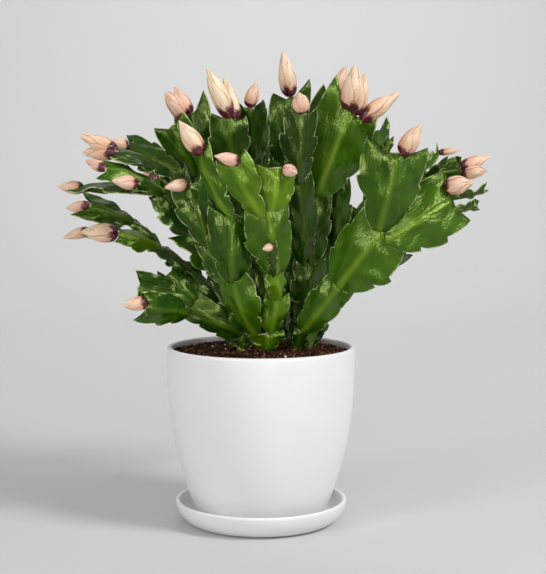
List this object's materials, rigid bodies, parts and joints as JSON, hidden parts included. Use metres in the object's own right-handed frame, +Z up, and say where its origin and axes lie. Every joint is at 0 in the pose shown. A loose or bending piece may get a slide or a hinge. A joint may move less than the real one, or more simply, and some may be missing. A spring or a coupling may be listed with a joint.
{
  "type": "potted christmas cactus",
  "caption": "Christmas cactus in bud: arching shoots of flat toothed pads with pointed buds at their tips, in soil in a round tapered pot on a matching saucer.",
  "frame": {"origin": "middle of the saucer's flat underside, on the axis of the pot", "axes": "+Z up along the pot's axis; -Y towards the front of the plant, the side with the two broad pads over the rim; +X to the viewer's right"},
  "size_m": [0.2979, 0.2222, 0.3246],
  "materials": {
    "glazed_white": "satin",
    "soil": "matte",
    "pad_green": "satin",
    "bud_cream": "satin"
  },
  "bodies": {
    "root": {"saucer": "glazed_white", "pot": "glazed_white", "soil": "soil", "shoot_front": "pad_green", "shoot_right": "pad_green", "shoot_low": "pad_green", "shoot_left": "pad_green", "shoot_side": "pad_green", "shoot_mid": "pad_green", "shoot_crown": "pad_green", "shoot_crest": "pad_green", "shoot_top": "pad_green", "shoot_rear": "pad_green", "shoot_flank": "pad_green", "shoot_backLeft": "pad_green", "shoot_backMid": "pad_green", "shoot_backRight": "pad_green", "shoot_backLow": "pad_green", "bud_01": "bud_cream", "bud_02": "bud_cream", "bud_03": "bud_cream", "bud_04": "bud_cream", "bud_05": "bud_cream", "bud_06": "bud_cream", "bud_07": "bud_cream", "bud_08": "bud_cream", "bud_09": "bud_cream", "bud_10": "bud_cream", "bud_11": "bud_cream", "bud_12": "bud_cream", "bud_13": "bud_cream", "bud_14": "bud_cream", "bud_15": "bud_cream", "bud_16": "bud_cream", "bud_17": "bud_cream", "bud_18": "bud_cream", "bud_19": "bud_cream", "bud_20": "bud_cream", "bud_21": "bud_cream", "bud_22": "bud_cream", "bud_23": "bud_cream", "bud_24": "bud_cream", "bud_25": "bud_cream", "bud_26": "bud_cream", "bud_27": "bud_cream", "bud_28": "bud_cream", "bud_29": "bud_cream", "bud_30": "bud_cream", "bud_31": "bud_cream", "bud_32": "bud_cream", "bud_33": "bud_cream", "bud_34": "bud_cream"}
  },
  "joints": []
}
